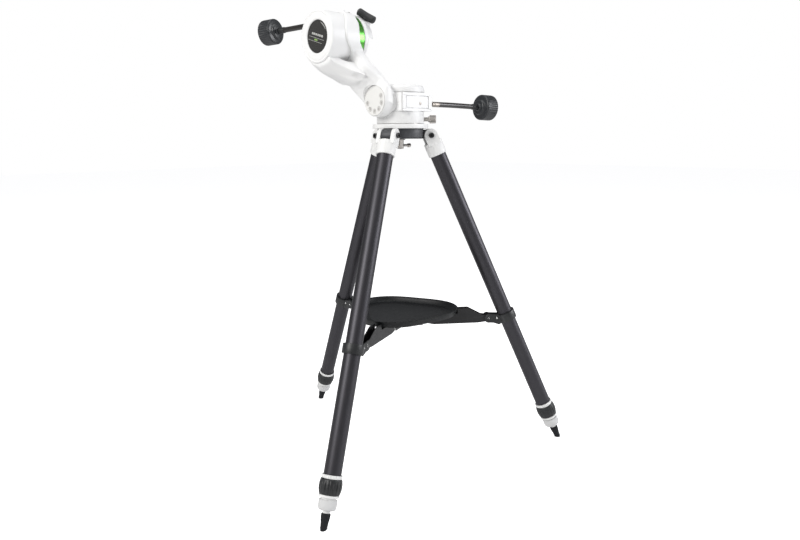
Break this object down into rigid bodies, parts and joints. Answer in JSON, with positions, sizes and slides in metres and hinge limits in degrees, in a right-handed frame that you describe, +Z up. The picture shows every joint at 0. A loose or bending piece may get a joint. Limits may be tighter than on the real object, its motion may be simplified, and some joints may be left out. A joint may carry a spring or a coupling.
{
  "type": "alt azimuth mount",
  "caption": "Manual two-axis telescope head on a folding tripod: leaning arm with altitude drum and dovetail saddle, worm slow motions, accessory tray and telescopic legs.",
  "frame": {"origin": "on the floor at the centre of the footprint box", "axes": "+Z up; -Y is the front, the face of the altitude drum; the arm leans towards -X"},
  "size_m": [0.5798, 0.6174, 0.9124],
  "materials": {
    "white_coat": "white powder coat",
    "white_plate": "satin off-white paint",
    "dark_casting": "dark grey powder coat",
    "silver_steel": "machined",
    "black_steel": "black coated",
    "black_plastic": "fine grained",
    "bronze": "turned",
    "green_ring": "green anodised",
    "label": "gloss",
    "white_yoke": "white powder coat",
    "dark_tube": "dark anodised",
    "inner_tube": "light grey satin",
    "rubber_tip": "matt"
  },
  "bodies": {
    "base": {"tripod_head": "dark_casting", "leg_hinge_bolts": "black_steel", "azimuth_base": "white_coat", "azimuth_spindle": "silver_steel", "azimuth_clutch_stack": "silver_steel"},
    "centre_bolt": {"centre_bolt": "silver_steel"},
    "bolt_bar": {"centre_bolt_bar": "silver_steel"},
    "azimuth_lock": {"azimuth_lock_screw": "silver_steel"},
    "azimuth_wheel": {"azimuth_worm_wheel": "bronze"},
    "azimuth_unit": {"azimuth_housing": "white_coat", "azimuth_cap": "white_coat", "worm_end_plate": "white_plate", "pivot_clamp_disc": "white_plate", "pivot_screws": "silver_steel", "azimuth_worm_bushes": "bronze", "azimuth_flexible_shaft": "black_plastic"},
    "azimuth_worm": {"azimuth_worm": "silver_steel", "azimuth_ferrule": "silver_steel"},
    "azimuth_control": {"azimuth_knob": "black_plastic"},
    "arm": {"swing_arm": "white_coat", "drum_casing": "white_coat", "drum_front_ring": "white_coat", "drum_label": "label", "altitude_bearings": "bronze", "altitude_worm_bushes": "bronze", "altitude_flexible_shaft": "black_plastic"},
    "altitude_wheel": {"altitude_worm_wheel": "bronze"},
    "altitude_worm": {"altitude_worm": "silver_steel", "altitude_ferrule": "silver_steel"},
    "altitude_control": {"altitude_knob": "black_plastic"},
    "saddle": {"altitude_shaft": "silver_steel", "altitude_slip_ring": "green_ring", "dovetail_saddle": "white_coat", "saddle_screws": "silver_steel", "altitude_clutch_nut": "silver_steel"},
    "jaw": {"saddle_jaw": "white_coat"},
    "clamp_knob": {"saddle_clamp_knob": "black_plastic"},
    "hub": {"spreader_hub": "black_steel"},
    "tray": {"accessory_tray": "black_plastic"},
    "leg_a": {"leg_yoke_a": "white_yoke", "leg_tube_a": "dark_tube", "leg_collar_a": "black_plastic"},
    "nut_a": {"twist_nut_a": "black_plastic"},
    "inner_a": {"inner_leg_a": "inner_tube", "rubber_foot_a": "rubber_tip"},
    "spreader_a": {"spreader_arm_a": "black_steel"},
    "leg_b": {"leg_yoke_b": "white_yoke", "leg_tube_b": "dark_tube", "leg_collar_b": "black_plastic"},
    "nut_b": {"twist_nut_b": "black_plastic"},
    "inner_b": {"inner_leg_b": "inner_tube", "rubber_foot_b": "rubber_tip"},
    "spreader_b": {"spreader_arm_b": "black_steel"},
    "leg_c": {"leg_yoke_c": "white_yoke", "leg_tube_c": "dark_tube", "leg_collar_c": "black_plastic"},
    "nut_c": {"twist_nut_c": "black_plastic"},
    "inner_c": {"inner_leg_c": "inner_tube", "rubber_foot_c": "rubber_tip"},
    "spreader_c": {"spreader_arm_c": "black_steel"}
  },
  "joints": [
    {"name": "centre_bolt_turn", "type": "hinge", "parent": "base", "child": "centre_bolt", "pos_m": [0.06625, 0.02462, 0.652], "axis": [0, 0, 1], "continuous": true},
    {"name": "bolt_bar_slide", "type": "slide", "parent": "centre_bolt", "child": "bolt_bar", "axis": [0, 1, 0], "range_m": [-0.014, 0.014]},
    {"name": "azimuth_slip", "type": "hinge", "parent": "base", "child": "azimuth_wheel", "pos_m": [0.06625, 0.02462, 0.7295], "axis": [0, 0, 1], "continuous": true},
    {"name": "azimuth_slow", "type": "hinge", "parent": "azimuth_wheel", "child": "azimuth_unit", "pos_m": [0.06625, 0.02462, 0.7295], "axis": [0, 0, 1], "continuous": true},
    {"name": "azimuth_worm_turn", "type": "hinge", "parent": "azimuth_unit", "child": "azimuth_worm", "pos_m": [0.10325, 0.02462, 0.7295], "axis": [0, 1, 0], "continuous": true},
    {"name": "azimuth_control_turn", "type": "hinge", "parent": "azimuth_unit", "child": "azimuth_control", "pos_m": [0.11682, 0.20486, 0.72686], "axis": [0.1873, 0.9816, -0.0364], "continuous": true},
    {"name": "azimuth_lock_turn", "type": "hinge", "parent": "azimuth_unit", "child": "azimuth_lock", "pos_m": [0.06625, 0.02462, 0.7], "axis": [0.7071, 0.7071, 0], "continuous": true},
    {"name": "arm_tilt", "type": "hinge", "parent": "azimuth_unit", "child": "arm", "pos_m": [0.06625, -0.03538, 0.7345], "axis": [0, 1, 0], "range_deg": [-30, 30]},
    {"name": "altitude_slow", "type": "hinge", "parent": "arm", "child": "altitude_wheel", "pos_m": [-0.00125, -0.08538, 0.85141], "axis": [0, -1, 0], "continuous": true},
    {"name": "altitude_slip", "type": "hinge", "parent": "altitude_wheel", "child": "saddle", "pos_m": [-0.00125, -0.08538, 0.85141], "axis": [0, -1, 0], "continuous": true},
    {"name": "altitude_worm_turn", "type": "hinge", "parent": "arm", "child": "altitude_worm", "pos_m": [-0.00125, -0.08538, 0.88421], "axis": [-1, 0, 0], "continuous": true},
    {"name": "altitude_control_turn", "type": "hinge", "parent": "arm", "child": "altitude_control", "pos_m": [-0.16272, -0.09725, 0.88191], "axis": [-0.9659, -0.2541, -0.0494], "continuous": true},
    {"name": "jaw_slide", "type": "slide", "parent": "saddle", "child": "jaw", "axis": [0.5878, 0, 0.809], "range_m": [-0.014, 0]},
    {"name": "clamp_knob_turn", "type": "hinge", "parent": "saddle", "child": "clamp_knob", "pos_m": [0.02614, -0.03038, 0.88911], "axis": [0.5878, 0, 0.809], "range_deg": [-5040, 0]},
    {"name": "hub_rise", "type": "slide", "parent": "base", "child": "hub", "axis": [0, 0, 1], "range_m": [0, 0.1]},
    {"name": "tray_lift", "type": "slide", "parent": "hub", "child": "tray", "axis": [0, 0, 1], "range_m": [0, 0.012]},
    {"name": "leg_a_fold", "type": "hinge", "parent": "base", "child": "leg_a", "pos_m": [0.103, 0.07166, 0.6684], "axis": [-0.788, 0.6157, 0], "range_deg": [0, 5]},
    {"name": "leg_b_fold", "type": "hinge", "parent": "base", "child": "leg_b", "pos_m": [0.00713, 0.03293, 0.6684], "axis": [-0.1392, -0.9903, 0], "range_deg": [0, 5]},
    {"name": "leg_c_fold", "type": "hinge", "parent": "base", "child": "leg_c", "pos_m": [0.08861, -0.03073, 0.6684], "axis": [0.9272, 0.3746, 0], "range_deg": [0, 5]},
    {"name": "spreader_a_swing", "type": "hinge", "parent": "leg_a", "child": "spreader_a", "pos_m": [0.18107, 0.17158, 0.284], "axis": [-0.788, 0.6157, 0], "range_deg": [0, 36]},
    {"name": "inner_a_slide", "type": "slide", "parent": "leg_a", "child": "inner_a", "axis": [0.2475, 0.3167, -0.9157], "range_m": [0, 0.45]},
    {"name": "nut_a_turn", "type": "hinge", "parent": "leg_a", "child": "nut_a", "pos_m": [0.25095, 0.26102, 0.12098], "axis": [0.2475, 0.3167, -0.9157], "range_deg": [0, 90]},
    {"name": "spreader_b_swing", "type": "hinge", "parent": "leg_b", "child": "spreader_b", "pos_m": [-0.11843, 0.05058, 0.284], "axis": [-0.1392, -0.9903, 0], "range_deg": [0, 36]},
    {"name": "inner_b_slide", "type": "slide", "parent": "leg_b", "child": "inner_b", "axis": [-0.398, 0.0559, -0.9157], "range_m": [0, 0.45]},
    {"name": "nut_b_turn", "type": "hinge", "parent": "leg_b", "child": "nut_b", "pos_m": [-0.23083, 0.06637, 0.12098], "axis": [-0.398, 0.0559, -0.9157], "range_deg": [0, 90]},
    {"name": "spreader_c_swing", "type": "hinge", "parent": "leg_c", "child": "spreader_c", "pos_m": [0.13611, -0.1483, 0.284], "axis": [0.9272, 0.3746, 0], "range_deg": [0, 36]},
    {"name": "inner_c_slide", "type": "slide", "parent": "leg_c", "child": "inner_c", "axis": [0.1506, -0.3727, -0.9157], "range_m": [0, 0.45]},
    {"name": "nut_c_turn", "type": "hinge", "parent": "leg_c", "child": "nut_c", "pos_m": [0.17863, -0.25354, 0.12098], "axis": [0.1506, -0.3727, -0.9157], "range_deg": [0, 90]}
  ],
  "couplings": [
    {"joint": "azimuth_worm_turn", "follows": "azimuth_slow", "ratio": 48},
    {"joint": "azimuth_control_turn", "follows": "azimuth_slow", "ratio": 48},
    {"joint": "altitude_worm_turn", "follows": "altitude_slow", "ratio": 48},
    {"joint": "altitude_control_turn", "follows": "altitude_slow", "ratio": 48},
    {"joint": "clamp_knob_turn", "follows": "jaw_slide", "rad_per_m": 6283.2},
    {"joint": "leg_b_fold", "follows": "leg_a_fold", "ratio": 1},
    {"joint": "leg_c_fold", "follows": "leg_a_fold", "ratio": 1},
    {"joint": "hub_rise", "follows": "leg_a_fold", "m_per_rad": 1.139},
    {"joint": "spreader_a_swing", "follows": "leg_a_fold", "ratio": 7},
    {"joint": "spreader_b_swing", "follows": "leg_a_fold", "ratio": 7},
    {"joint": "spreader_c_swing", "follows": "leg_a_fold", "ratio": 7}
  ]
}
